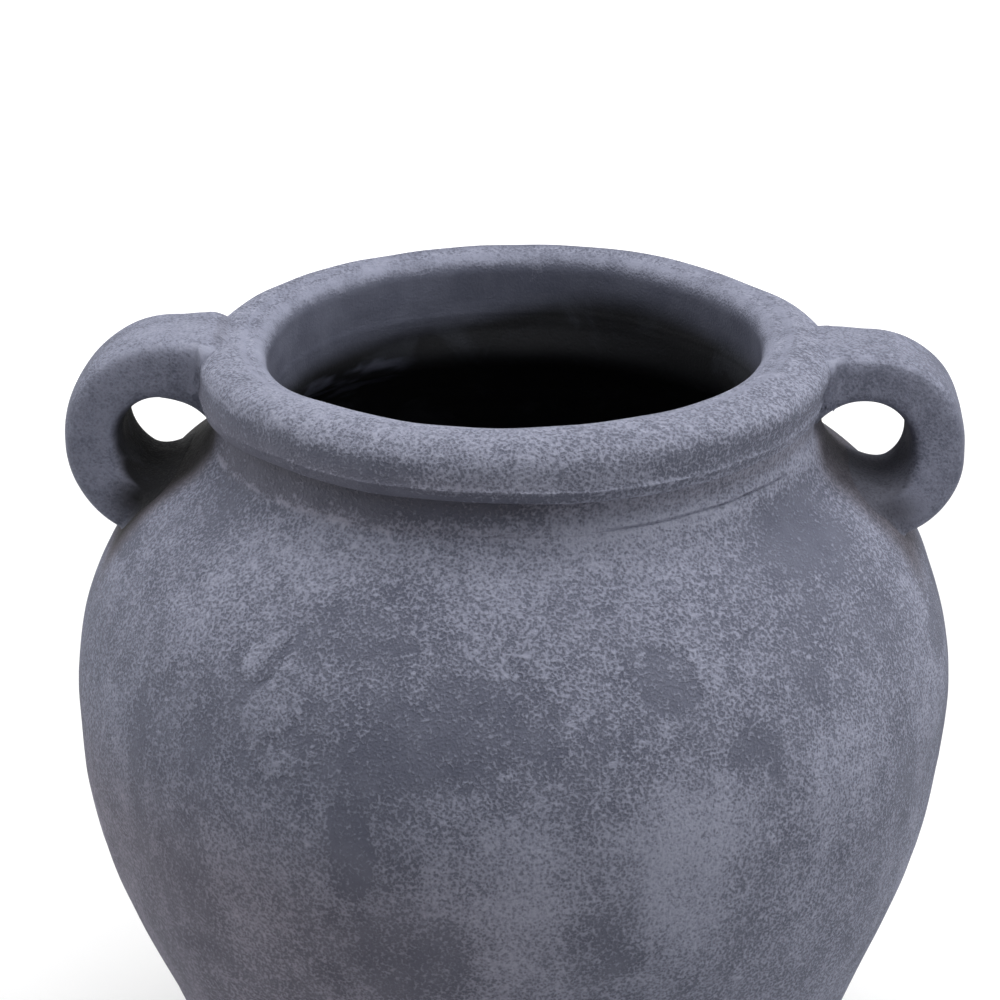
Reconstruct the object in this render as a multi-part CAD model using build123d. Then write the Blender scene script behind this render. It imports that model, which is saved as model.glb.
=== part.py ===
import os
from math import acos, atan2, cos, hypot, radians, sin, sqrt

from build123d import *

# Two-handled storage jar of thrown clay sections. Millimetres, +Z up, origin at the centre of the base.

# body outline
foot_r = 88.0            # outside radius at the ground
belly_r = 150.0          # widest outside radius
belly_z = 199.0          # height of the widest place
lower_arc_r = 223.0      # arc below the widest place
shoulder_arc_r = 95.0    # arc above the widest place
cove_r = 28.0            # hollow curve from the shoulder into the neck
neck_straight = 3.5      # upright stretch between the cove and the rim
wall = 10.0              # thickness of the belly walls
floor_t = 12.0           # thickness of the base disc
foot_edge_r = 3.0        # rounding of the bottom edge

# mouth, neck and rim
mouth_r = 81.0           # inside radius of the rim
neck_recess = 1.5        # how much wider the neck is inside than the rim
neck_wall = 19.0         # from the inside of the rim to the outside of the neck
rim_overhang = 2.7       # how far the rim stands out from the neck
rim_height = 18.5        # from the underside of the rim to its crown
rim_outer_round = 7.0    # rounding of the crown on the outside
rim_inner_round = 4.0    # rounding of the lip on the inside
rim_dish = 1.7           # how much lower the lip is than the crown
rim_bead_round = 2.0     # rounding of the lower edge of the rim
rim_line_rise = 4.0      # height of the tooled line above the underside of the rim
rim_line_r = 0.9         # half width of the tooled line

# seams between the thrown sections
crease_drop = 8.0        # neck seam below the top of the cove
tongue_height = 3.0      # height of the ridge on each lower section
wall_tongue_w = 3.4      # width of the ridge in the belly walls
neck_tongue_w = 6.0      # width of the ridge in the neck
slip_gap = 0.2           # room for slip round each ridge

# coils of soft clay pressed over the seams inside
base_coil_leg = 14.0     # reach of the corner coil over the floor and up the wall
base_coil_sag = 2.0      # how hollow its face was pressed
belly_coil_r = 16.0      # curve of the coil over the belly seam
belly_coil_rise = 3.0    # how far it stands into the jar
neck_coil_r = 5.0        # curve of the ridge inside the neck
neck_coil_rise = 1.2     # how far it stands out of the neck wall
neck_coil_drop = 4.5     # ridge below the underside of the rim

# strap handles
handle_proud = 2.0       # how far the handles stand out past the belly
handle_depth = 36.0      # width of the strap
handle_top_drop = 1.0    # top of the strap below the crown of the rim
arm_t = 17.0             # thickness of the strap at the rim
side_t = 21.0            # thickness of the strap at the side
top_bend_r = 33.0        # outside bend
gap_bend_r = 12.0        # inside bend over the finger gap
strap_edge_r = 5.5       # rounding of the strap edges
root_low_angle = 30.7    # where the outside of the strap meets the shoulder arc
root_high_angle = 48.6   # where the inside of the strap meets the shoulder arc
root_tuck = 20.0         # how far both curves run on into the wall, in degrees

# luting clay round the handle roots
lute_reach = 5.0         # height of the fillet along the strap
lute_lip = 0.9           # thickness of the fillet at its thin end
lute_slope = 30.0        # spread of the fillet in degrees
lute_top_drop = 3.0      # fillet below the top of the strap

# positions that follow from the sizes
neck_r = mouth_r + neck_wall
neck_in_r = mouth_r + neck_recess
rim_r = neck_r + rim_overhang
lower_centre = Vector(belly_r - lower_arc_r, belly_z)
shoulder_centre = Vector(belly_r - shoulder_arc_r, belly_z)
cove_run = neck_r + cove_r - shoulder_centre.X
cove_rise = sqrt((shoulder_arc_r + cove_r) ** 2 - cove_run ** 2)
cove_centre = Vector(neck_r + cove_r, belly_z + cove_rise)
crease_z = cove_centre.Y - crease_drop
rim_z = cove_centre.Y + neck_straight
top_z = rim_z + rim_height
foot_distance = hypot(foot_r - lower_centre.X, belly_z)
taper_angle = atan2(-belly_z, foot_r - lower_centre.X) + acos(lower_arc_r / foot_distance)
cove_angle = atan2(cove_rise, cove_run)
far = 2 * belly_r


def on_circle(centre, radius, angle):
    return Vector(centre.X + radius * cos(angle), centre.Y + radius * sin(angle))


def arc(centre, radius, start, end):
    middle = on_circle(centre, radius, (start + end) / 2)
    return ThreePointArc(on_circle(centre, radius, start), middle, on_circle(centre, radius, end))


def turned(*edges):
    section = make_face(Curve() + list(edges))
    return revolve(Plane.XZ * section, Axis.Z)


def ring(inside, outside, low, high):
    return Pos(0, 0, (low + high) / 2) * (
        Cylinder(outside, high - low) - Cylinder(inside, high - low)
    )


def slab(low, high):
    return Pos(0, 0, (low + high) / 2) * Cylinder(far, high - low)


def outside_radius(z):
    taper_top = on_circle(lower_centre, lower_arc_r, taper_angle)
    return foot_r + (taper_top.X - foot_r) * z / taper_top.Y


# the jar as a filled shape
def filled_jar():
    taper_top = on_circle(lower_centre, lower_arc_r, taper_angle)
    bead_centre = Vector(rim_r - rim_bead_round, rim_z + rim_bead_round)
    crown_centre = Vector(rim_r - rim_outer_round, top_z - rim_outer_round)
    jar = turned(
        Line((0, 0), (foot_r, 0)),
        Line((foot_r, 0), taper_top),
        arc(lower_centre, lower_arc_r, taper_angle, 0),
        arc(shoulder_centre, shoulder_arc_r, 0, cove_angle),
        arc(cove_centre, cove_r, radians(180) + cove_angle, radians(180)),
        Line((neck_r, cove_centre.Y), (neck_r, rim_z)),
        Line((neck_r, rim_z), (bead_centre.X, rim_z)),
        arc(bead_centre, rim_bead_round, radians(-90), 0),
        Line((rim_r, bead_centre.Y), (rim_r, crown_centre.Y)),
        arc(crown_centre, rim_outer_round, 0, radians(90)),
        Line((crown_centre.X, top_z), (0, top_z)),
        Line((0, top_z), (0, 0)),
    )
    return fillet(jar.edges().group_by(Axis.Z)[0], foot_edge_r)


# the space inside, from the floor out through the mouth
def hollow():
    taper_top = on_circle(lower_centre, lower_arc_r - wall, taper_angle)
    floor_r = outside_radius(floor_t) - wall / cos(taper_angle)
    neck_angle = acos((neck_in_r - shoulder_centre.X) / (shoulder_arc_r - wall))
    neck_foot = on_circle(shoulder_centre, shoulder_arc_r - wall, neck_angle)
    lip_centre = Vector(mouth_r + rim_inner_round, top_z - rim_dish - rim_inner_round)
    crown_r = rim_r - rim_outer_round
    return turned(
        Line((0, floor_t), (floor_r, floor_t)),
        Line((floor_r, floor_t), taper_top),
        arc(lower_centre, lower_arc_r - wall, taper_angle, 0),
        arc(shoulder_centre, shoulder_arc_r - wall, 0, neck_angle),
        Line(neck_foot, (neck_in_r, rim_z)),
        Line((neck_in_r, rim_z), (mouth_r, rim_z)),
        Line((mouth_r, rim_z), (mouth_r, lip_centre.Y)),
        arc(lip_centre, rim_inner_round, radians(180), radians(90)),
        Line((lip_centre.X, top_z - rim_dish), (crown_r, top_z)),
        Line((crown_r, top_z), (crown_r, top_z + rim_height)),
        Line((crown_r, top_z + rim_height), (0, top_z + rim_height)),
        Line((0, top_z + rim_height), (0, floor_t)),
    )


jar_solid = filled_jar()
cavity = hollow()
shell = jar_solid - cavity


# ridge on the lower section of a seam, and the groove that takes it
def ridge(seam_z, middle, width):
    return ring(middle - width / 2, middle + width / 2, seam_z, seam_z + tongue_height)


def ridge_groove(seam_z, middle, width):
    inside = middle - width / 2 - slip_gap
    return ring(inside, inside + width + 2 * slip_gap, seam_z, seam_z + tongue_height + slip_gap)


base_seam = (floor_t, outside_radius(floor_t) - wall / cos(taper_angle) / 2, wall_tongue_w)
belly_seam = (belly_z, belly_r - wall / 2, wall_tongue_w)
neck_seam = (crease_z, (neck_in_r + neck_r) / 2, neck_tongue_w)
rim_seam = (rim_z, (neck_in_r + neck_r) / 2, neck_tongue_w)


def base_disc():
    return (jar_solid & slab(0, floor_t)) + ridge(*base_seam)


def thrown_section(lower_seam, upper_seam):
    band = shell & slab(lower_seam[0], upper_seam[0])
    return band - ridge_groove(*lower_seam) + ridge(*upper_seam)


def rim_ring():
    tooled_line = Pos(0, 0, rim_z + rim_line_rise) * Torus(rim_r, rim_line_r)
    return (shell & slab(rim_z, top_z)) - ridge_groove(*rim_seam) - tooled_line


# coil pressed into the corner between the floor and the wall
def base_coil():
    corner = Vector(outside_radius(floor_t) - wall / cos(taper_angle), floor_t)
    up_the_wall = corner + Vector(-sin(taper_angle), cos(taper_angle)) * base_coil_leg
    over_the_floor = corner - Vector(base_coil_leg, 0)
    chord_middle = (up_the_wall + over_the_floor) / 2
    pressed = chord_middle + (corner - chord_middle).normalized() * base_coil_sag
    return turned(
        Line(corner, up_the_wall),
        ThreePointArc(up_the_wall, pressed, over_the_floor),
        Line(over_the_floor, corner),
    )


def belly_coil():
    bead = Pos(0, 0, belly_z) * Torus(belly_r - wall - belly_coil_rise + belly_coil_r, belly_coil_r)
    return bead & cavity


def neck_coil():
    ridge_z = rim_z - neck_coil_drop
    bead = Pos(0, 0, ridge_z) * Torus(neck_in_r - neck_coil_rise + neck_coil_r, neck_coil_r)
    return bead & cavity


# right-hand handle, cut to sit on the rim and the shoulder
def root_point(angle):
    return on_circle(shoulder_centre, shoulder_arc_r, radians(angle))


def bow(start, root):
    run = start.X - root.X
    drop = start.Y - root.Y
    radius = (run ** 2 + drop ** 2) / (2 * run)
    centre = Vector(start.X - radius, start.Y)
    root_turn = atan2(root.Y - centre.Y, root.X - centre.X)
    return arc(centre, radius, 0, root_turn - radians(root_tuck))


def right_handle():
    outer_r = belly_r + handle_proud
    inner_r = outer_r - side_t
    strap_top = top_z - handle_top_drop
    strap_under = strap_top - arm_t
    top_bend = Vector(outer_r - top_bend_r, strap_top - top_bend_r)
    gap_bend = Vector(inner_r - gap_bend_r, strap_under - gap_bend_r)
    outside_bow = bow(Vector(outer_r, top_bend.Y), root_point(root_low_angle))
    inside_bow = bow(Vector(inner_r, gap_bend.Y), root_point(root_high_angle))
    outline = make_face(
        Curve()
        + [
            Line((mouth_r, strap_top), (top_bend.X, strap_top)),
            arc(top_bend, top_bend_r, radians(90), 0),
            outside_bow,
            Line(outside_bow @ 1, inside_bow @ 1),
            inside_bow,
            arc(gap_bend, gap_bend_r, 0, radians(90)),
            Line((gap_bend.X, strap_under), (mouth_r, strap_under)),
            Line((mouth_r, strap_under), (mouth_r, strap_top)),
        ]
    )
    strap = extrude(Plane.XZ * outline, handle_depth / 2, both=True)
    sides = strap.faces().group_by(Axis.Y)
    side_edges = sides[0].edges() + sides[-1].edges()
    long_edges = side_edges.filter_by(GeomType.CIRCLE) + side_edges.filter_by(Axis.X)
    return fillet(long_edges, strap_edge_r) - jar_solid


handle = right_handle()


# fillet of luting clay that spreads from the strap onto the wall
def lute(seat, length, width, depth):
    thin_end = RectangleRounded(length + 2 * lute_lip, width + 2 * lute_lip, strap_edge_r)
    spread = extrude(seat * thin_end, -depth, taper=-lute_slope)
    return spread - jar_solid - handle


def right_upper_lute():
    strap_top = top_z - handle_top_drop
    length = arm_t - lute_top_drop
    middle = strap_top - arm_t + length / 2
    origin = (rim_r + lute_reach, 0, middle)
    seat = Plane(origin=origin, x_dir=(0, 0, 1), z_dir=(1, 0, 0))
    collar = lute(seat, length, handle_depth, lute_reach + rim_overhang + wall / 2)
    return collar - slab(strap_top - lute_top_drop, top_z + far)


def right_lower_lute():
    low_root = root_point(root_low_angle)
    high_root = root_point(root_high_angle)
    middle = on_circle(
        shoulder_centre,
        shoulder_arc_r + lute_reach,
        radians((root_low_angle + root_high_angle) / 2),
    )
    run = high_root - low_root
    along = (run.X, 0, run.Y)
    outward = (run.Y, 0, -run.X)
    seat = Plane(origin=(middle.X, 0, middle.Y), x_dir=along, z_dir=outward)
    return lute(seat, run.length, handle_depth, lute_reach + wall / 2)


pieces = {
    "base_disc": base_disc(),
    "base_coil": base_coil(),
    "lower_wall": thrown_section(base_seam, belly_seam),
    "belly_coil": belly_coil(),
    "upper_wall": thrown_section(belly_seam, neck_seam),
    "neck_collar": thrown_section(neck_seam, rim_seam),
    "neck_coil": neck_coil(),
    "rim_ring": rim_ring(),
    "right_handle": handle,
    "right_upper_lute": right_upper_lute(),
    "right_lower_lute": right_lower_lute(),
}
for name in ("handle", "upper_lute", "lower_lute"):
    pieces["left_" + name] = mirror(pieces["right_" + name], Plane.YZ)

os.makedirs("parts", exist_ok=True)
for name, shape in pieces.items():
    export_step(shape, "parts/" + name + ".step")
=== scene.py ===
import random
from math import acos, asin, atan2, cos, hypot, pi, radians, sin, sqrt

import bmesh
import bpy
import numpy as np
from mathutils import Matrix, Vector


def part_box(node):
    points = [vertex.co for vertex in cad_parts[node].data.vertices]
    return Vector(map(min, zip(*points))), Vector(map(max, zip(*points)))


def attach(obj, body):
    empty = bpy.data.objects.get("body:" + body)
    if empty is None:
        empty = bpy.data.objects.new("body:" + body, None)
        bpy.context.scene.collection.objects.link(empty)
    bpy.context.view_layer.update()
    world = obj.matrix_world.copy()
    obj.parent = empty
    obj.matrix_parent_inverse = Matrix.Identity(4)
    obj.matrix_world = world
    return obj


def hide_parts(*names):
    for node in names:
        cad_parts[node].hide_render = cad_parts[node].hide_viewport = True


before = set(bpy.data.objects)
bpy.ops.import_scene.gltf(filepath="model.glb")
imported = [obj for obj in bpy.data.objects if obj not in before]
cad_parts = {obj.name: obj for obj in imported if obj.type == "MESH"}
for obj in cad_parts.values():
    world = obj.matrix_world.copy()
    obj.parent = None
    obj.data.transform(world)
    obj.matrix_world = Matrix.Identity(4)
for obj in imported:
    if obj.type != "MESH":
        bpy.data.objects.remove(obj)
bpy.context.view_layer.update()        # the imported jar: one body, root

scene = bpy.context.scene
mm = 0.001
print("frame loaded,", len(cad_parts), "nodes")

# places read from the frame
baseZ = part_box("lower_wall")[0][2]       # seam on the base disc
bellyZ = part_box("upper_wall")[0][2]      # seam at the widest place
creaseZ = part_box("neck_collar")[0][2]    # seam under the neck
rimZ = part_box("rim_ring")[0][2]          # underside of the rim
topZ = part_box("rim_ring")[1][2]          # crown of the rim
bellyR = 150 * mm
rimR = 105.5 * mm

jar = {
    "footR": 88 * mm,
    "footEdge": 3 * mm,
    "lowerArc": 223 * mm,
    "shoulderArc": 95 * mm,
    "cove": 28 * mm,
    "neckR": 100 * mm,
    "neckInR": 82.7 * mm,
    "neckTurn": 22 * mm,  # rounding inside, from the neck into the shoulder
    "mouthR": 82.3 * mm,
    "wall": 10 * mm,
    "turns": 600,         # steps round the jar
    "wedges": 12,         # one wedge is spun, the rest are copies of it
    "weld": 0.02 * mm,
}

def flat(r, z):   # a point of an outline
    return Vector((r, 0, z))


# centres of the arcs that make the body outline
lowerCentre = flat(bellyR - jar["lowerArc"], bellyZ)
shoulderCentre = flat(bellyR - jar["shoulderArc"], bellyZ)
coveRun = jar["neckR"] + jar["cove"] - shoulderCentre.x
coveRise = sqrt((jar["shoulderArc"] + jar["cove"]) ** 2 - coveRun ** 2)
coveCentre = flat(jar["neckR"] + jar["cove"], bellyZ + coveRise)
coveAngle = atan2(coveRise, coveRun)
creaseAngle = asin((coveCentre.z - creaseZ) / jar["cove"])
innerArc = jar["shoulderArc"] - jar["wall"]
turnRun = jar["neckInR"] + jar["neckTurn"] - shoulderCentre.x
turnRise = sqrt((innerArc + jar["neckTurn"]) ** 2 - turnRun ** 2)
turnCentre = flat(jar["neckInR"] + jar["neckTurn"], bellyZ + turnRise)
turnAngle = atan2(turnRise, turnRun)
turnAtCrease = asin((turnCentre.z - creaseZ) / jar["neckTurn"])
footReach = hypot(jar["footR"] - lowerCentre.x, bellyZ)
taperAngle = atan2(-bellyZ, jar["footR"] - lowerCentre.x) + acos(jar["lowerArc"] / footReach)


def onCircle(centre, radius, angle):
    return centre + flat(cos(angle), sin(angle)) * radius


def taperR(z):   # outside radius on the straight taper above the foot
    top = onCircle(lowerCentre, jar["lowerArc"], taperAngle)
    return jar["footR"] + (top.x - jar["footR"]) * z / top.z


# an outline is drawn by moving one vertex, straight or about a centre
def drawLine(bm, tip, r, z, steps):
    move = (flat(r, z) - tip.co) / steps
    for _ in range(steps):
        tip = bmesh.ops.extrude_vert_indiv(bm, verts=[tip])["verts"][0]
        bmesh.ops.translate(bm, verts=[tip], vec=move)
    return tip


def drawArc(bm, tip, centre, turn, steps):   # a positive turn goes from +X towards +Z
    drawn = bmesh.ops.spin(
        bm, geom=[tip], cent=centre, axis=(0, -1, 0), dvec=(0, 0, 0), angle=turn, steps=steps)
    return [v for v in drawn["geom_last"] if isinstance(v, bmesh.types.BMVert)][0]


def spinOutline(r, z, moves):   # a move is a line, (r, z, steps), or an arc, (centre, turn, steps)
    bm = bmesh.new()
    first = tip = bm.verts.new((r, 0, z))
    for move in moves:
        draw = drawArc if isinstance(move[0], Vector) else drawLine
        tip = draw(bm, tip, *move)
    if r > 0:   # a ring is closed, a disc begins and ends on the axis
        bm.edges.new((tip, first))
    wedge = 2 * pi / jar["wedges"]
    about = {"cent": (0, 0, 0), "axis": (0, 0, 1), "dvec": (0, 0, 0)}
    line = bm.verts[:] + bm.edges[:]
    bmesh.ops.spin(bm, geom=line, angle=wedge, steps=jar["turns"] // jar["wedges"], **about)
    sheet = bm.verts[:] + bm.edges[:] + bm.faces[:]
    bmesh.ops.spin(
        bm, geom=sheet, angle=2 * pi - wedge, steps=jar["wedges"] - 1, use_duplicate=True, **about)
    bmesh.ops.remove_doubles(bm, verts=bm.verts, dist=jar["weld"])
    bmesh.ops.recalc_face_normals(bm, faces=bm.faces)
    return bm


def smoothStep(value, low, high):
    t = np.clip((value - low) / (high - low), 0, 1)
    return t * t * (3 - 2 * t)


def fadeOut(value, low, high):
    return 1 - smoothStep(value, low, high)


def unroll(points):   # angle round the jar from the front, radius and height
    return np.arctan2(points[:, 0], -points[:, 1]), np.hypot(points[:, 0], points[:, 1]), points[:, 2]


# unevenness of hand work: one field in space for every piece, so that the joints stay closed
uneven = {
    "seed": 5,
    "crossing": 9,           # waves that cross at each size
    "swells": [(150 * mm, 0.8 * mm), (55 * mm, 0.32 * mm), (21 * mm, 0.12 * mm)],   # length, height
    "stillBelow": 25 * mm,   # the foot stays flat on the floor
    "lean": 0.9 * mm,        # the neck sits a little to the right
    "leanFrom": 150 * mm,
    "seamLow": 0.65 * mm,    # the neck seam is lower than drawn, most on the left
    "seamTilt": 1.8 * mm,
    "seamTo": -60,           # degrees round to its lowest place
    "seamReach": 9 * mm, "seamInside": (104 * mm, 112 * mm),
    "mouthMove": (-0.3 * mm, 1.5 * mm),   # the mouth and the inside of the neck sit back
    "mouthBack": 4.5 * mm,   # the mouth is drawn out at the back
    "mouthInside": (88 * mm, 99 * mm), "mouthFrom": (276 * mm, 292 * mm),
}


def waves(points, seed, sizes):
    pick = random.Random(seed)
    move = np.zeros_like(points)
    for length, height in sizes:
        for _ in range(uneven["crossing"]):
            run = Vector([pick.gauss(0, 1) for _ in range(3)]).normalized()
            push = Vector([pick.gauss(0, 1) for _ in range(3)]).normalized()
            swing = np.sin(points @ np.array(run) * 2 * pi / length + pick.uniform(0, 2 * pi))
            move += np.outer(swing, push) * height * sqrt(3 / uneven["crossing"])
    return move


def handWarp(points):
    around, radius, height = unroll(points)
    still = np.clip(points[:, 2:] / uneven["stillBelow"], 0, 1)
    warped = points + waves(points, uneven["seed"], uneven["swells"]) * still
    warped[:, 0] += uneven["lean"] * smoothStep(height, uneven["leanFrom"], topZ)
    near = fadeOut(np.abs(height - creaseZ), 0, uneven["seamReach"])
    near *= fadeOut(radius, *uneven["seamInside"])
    drop = uneven["seamLow"] + uneven["seamTilt"] * np.cos(around - radians(uneven["seamTo"]))
    warped[:, 2] -= drop * near
    mouth = fadeOut(radius, *uneven["mouthInside"]) * smoothStep(height, *uneven["mouthFrom"])
    warped[:, :2] += np.outer(mouth, uneven["mouthMove"])
    warped[:, 1] += mouth * uneven["mouthBack"] * np.clip(-np.cos(around), 0, 1) ** 2
    return warped


# marks of the wash on the front, in degrees round and mm:
# place, height, half length, half width, tilt, blur, amount
washMarks = [
    (-40, 268, 26, 14, 15, 0.5, 0.25),
    (14, 284, 46, 9, 0, 0.5, 0.3),
    (18, 274, 44, 8, 0, 0.5, 0.1),
    (9, 257, 14, 9, 0, 0.5, 0.14),
    (-31, 205, 26, 18, 0, 0.4, 0.12),
    (-1, 203, 22, 24, 0, 0.4, 0.25),
    (32.3, 223.2, 3, 3, 0, 0.4, 0.4),
    (22, 210, 26, 16, 0, 0.5, 0.33),
    (24.5, 257, 6, 6, 0, 0.5, 0.3),
    (3.8, 170, 15, 20, 0, 0.5, 0.45),
    (22.5, 190, 14, 32, 0, 0.5, 0.42),
    (45, 214, 14, 18, 0, 0.5, 0.35),
    (54, 240, 14, 24, 0, 0.6, 0.2),
    (-50, 250, 16, 10, 30, 0.5, 0.2),
    (28, 258, 6, 7, 0, 0.5, 0.2),
    (-19, 264, 24, 8, 10, 0.4, -0.3),
    (-7, 242, 30, 14, 12, 0.4, -0.32),
    (-24, 226, 40, 26, 0, 0.6, -0.22),
    (-3, 230, 24, 12, 0, 0.5, -0.18),
    (-8.6, 167, 15, 12, 0, 0.4, -0.35),
    (-16, 178, 12, 9, 0, 0.5, -0.18),
    (-30, 226, 20, 11, 0, 0.5, -0.15),
    (12, 173, 12, 15, 90, 0.4, -0.3),
    (5, 197, 18, 10, 0, 0.5, 0.12),
    (32, 227, 9, 8, 0, 0.4, -0.4),
    (60, 201, 26, 9, 95, 0.4, -0.3),
    (-51, 208, 38, 5, 95, 0.4, -0.3),
    (-41.6, 231, 13, 12, 0, 0.5, -0.15),
    (55, 257, 30, 24, 0, 0.6, -0.32),
    (58, 277, 18, 11, 0, 0.6, -0.3),
    (-55, 281, 24, 7, 0, 0.5, -0.25),
    (-42, 186, 14, 34, 0, 0.6, -0.22),
    (-50, 222, 10, 20, 0, 0.5, -0.12),
    (-33, 178, 12, 24, 15, 0.5, 0.15),
    (-4, 268, 17, 10, -15, 0.5, 0.18),
    (37, 212, 8, 7, 0, 0.5, 0.18),
    (20, 188, 22, 13, 0, 0.6, 0.12),
    (4, 212, 9, 9, 0, 0.5, 0.15),
    (12, 275, 14, 4, -8, 0.5, -0.2),
    (30, 262, 11, 8, 0, 0.5, -0.15),
    (23, 226, 9, 5, 45, 0.5, -0.17),
    (-32, 186, 6, 12, 0, 0.5, -0.15),
    (-22, 281, 12, 5, 20, 0.5, 0.18),
    (-47, 279, 12, 5, 0, 0.5, 0.18),
    (68, 240, 16, 40, 0, 0.6, 0.18),
    (44, 180, 8, 9, 0, 0.5, -0.18),
    (-30, 319, 35, 6, 0, 0.6, 0.2),
    (-90, 318, 40, 8, 0, 0.6, 0.08),
    (-82, 300, 12, 25, 0, 0.5, 0.12),
]

# strokes with a torn edge: place, height, half length, half width, tilt
trowelStrokes = [
    (-29.5, 241, 13, 8, 50),
    (-27, 226, 9, 3.5, 20),
    (-33.5, 252, 8, 5, 40),
]
scrapedStrokes = [
    (-17.3, 205, 16, 6.8, 93),
    (-32, 250, 13, 2.6, 55),
    (22, 253, 9, 8, 0),
]
strokeRagged = [(11 * mm, 1.2 * mm), (4.5 * mm, 0.5 * mm)]
noStroke = -20.0   # mm, well away

moreMarks = {
    "seed": 11,
    "back": 70,              # marks on the sides and back
    "low": 30,               # marks on the front below the picture's edge
    "frontTo": 72,           # degrees either side that the front marks take up
    "top": 275, "bottom": 15, "frontTop": 140,
    "lengths": (8, 32), "slimness": (0.35, 0.8), "tilts": (0, 15, 50, 90, 95, 140),
    "amounts": (0.2, 0.45), "blurs": (0.15, 0.4, 0.5),
    "raggedSeed": 3,
    "ragged": [(16 * mm, 1.6 * mm), (6 * mm, 0.6 * mm)],   # torn edges of the marks
}


def allMarks():
    more = moreMarks
    pick = random.Random(more["seed"])
    marks = list(washMarks)
    for number in range(more["back"] + more["low"]):
        onBack = number < more["back"]
        around = pick.uniform(-1, 1) * ((180 - more["frontTo"]) if onBack else more["frontTo"])
        height = pick.uniform(more["bottom"], more["top"] if onBack else more["frontTop"])
        length = pick.uniform(*more["lengths"])
        tilt = pick.choice(more["tilts"])
        amount = pick.choice((-1, 1)) * pick.uniform(*more["amounts"])
        blur = pick.choice(more["blurs"])
        width = length * pick.uniform(*more["slimness"])
        marks.append((around + 180 * onBack, height, length, width, tilt, blur, amount))
    return marks


def ragged(points, sizes, more=0):   # torn edges
    return unroll(points + waves(points, moreMarks["raggedSeed"] + more, sizes))


def markReach(spot, place, markZ, length, width, tilt):   # 0 in the middle of a mark, 1 at its edge
    around, radius, height = spot
    s = ((around - radians(place) + pi) % (2 * pi) - pi) * radius
    h = height - markZ * mm
    along = (s * cos(radians(tilt)) + h * sin(radians(tilt))) / (length * mm)
    across = (h * cos(radians(tilt)) - s * sin(radians(tilt))) / (width * mm)
    return (np.abs(along) ** 3 + np.abs(across) ** 3) ** (1 / 3)


def strokeDepth(points, strokes):   # how far each vertex is inside the nearest stroke, in mm
    spot = ragged(points, strokeRagged, 1)
    depth = np.full(len(points), noStroke)
    for stroke in strokes:
        depth = np.maximum(depth, (1 - markReach(spot, *stroke)) * min(stroke[2:4]))
    return depth


# pale lines on the tooled edges, wash with painted highlight, and dark bands on the rim's face and lower
# edge, painted shade: height, half width, amount, from, to degrees round
edgeLightAndShade = [
    (creaseZ - 0.4 * mm, 0.9 * mm, 0.8, -72, -22),
    (creaseZ - 3 * mm, 0.4 * mm, 0.4, 26, 44),
    (rimZ + 2.5 * mm, 0.35 * mm, 0.3, 12, 70),
    (rimZ - mm, 0.4 * mm, 0.2, -45, 15),
    (rimZ + 6 * mm, 4.5 * mm, -0.7, -110, -14),
    (rimZ + 8 * mm, 4.5 * mm, -0.4, 25, 90),
    (rimZ + 0.4 * mm, 1.6 * mm, -0.55, -110, 12),
    (rimZ + 0.4 * mm, 1.6 * mm, -0.35, 12, 90),
]
edgeReach = 108 * mm         # the lines are on the neck and rim only
edgeFade = 6                 # degrees over which a line ends
edgeGaps = {"coarse": 31, "fine": 47, "between": (-1.2, 0.4)}   # in the pale lines: counts round the jar
# the top of the neck is painted darker, most on the left, as painted shade under the rim; the foot of the
# neck is washed on the right
neck = {
    "low": 290 * mm, "high": 296.5 * mm, "left": -0.5, "right": -0.1,
    "toRight": (-1, 17),     # degrees round, where left turns to right
    "start": (-88, -50),     # where the painted shade starts on the left
    "back": (110, 160),      # and ends at the back, either way
    "leftDrop": 3 * mm,      # it reaches lower on the left
    "dropTo": (-40, -10),
    "foot": 0.44, "footLow": (284 * mm, 289 * mm),
    # darkness of the painted shade under the rim
    "rimShade": 0.38,
    "rimShadeRight": 0.6,        # how much less of it is on the right
}
washCoat = {
    "thickness": 0.3 * mm, "lipTop": topZ - 2.5 * mm, "lipLow": topZ - 9 * mm, "inside": -0.6,
    "smoothInside": 0.75, "smoothTinted": 0.4}   # how much less grit there
# the slip ends below the neck, higher on the right and highest right of the back; the clay below it is
# painted near black, painted shade inside the jar as well
rawAndShadeInside = {
    "from": 302 * mm, "full": 291 * mm, "tilt": 5 * mm, "lift": 6 * mm, "liftAt": 155, "liftTo": 45}
# slip smeared under the neck inside, on the left: degrees round, heights
smears = {
    "middle": -126, "half": 30, "low": 266 * mm, "high": 285 * mm, "edge": 2 * mm,
    "blotch": [(17 * mm, 1.0), (7 * mm, 0.6)], "blotchRange": (-0.5, 0.7)}
# painted shade in the crooks under the handles, where the sponge never reached either, longer at the back
crookShade = {
    "left": 1.0, "right": 0.6, "nearR": 93 * mm, "farR": 140 * mm, "halfDepth": 28 * mm,
    "backStretch": 0.7, "blur": 9 * mm}


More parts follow.
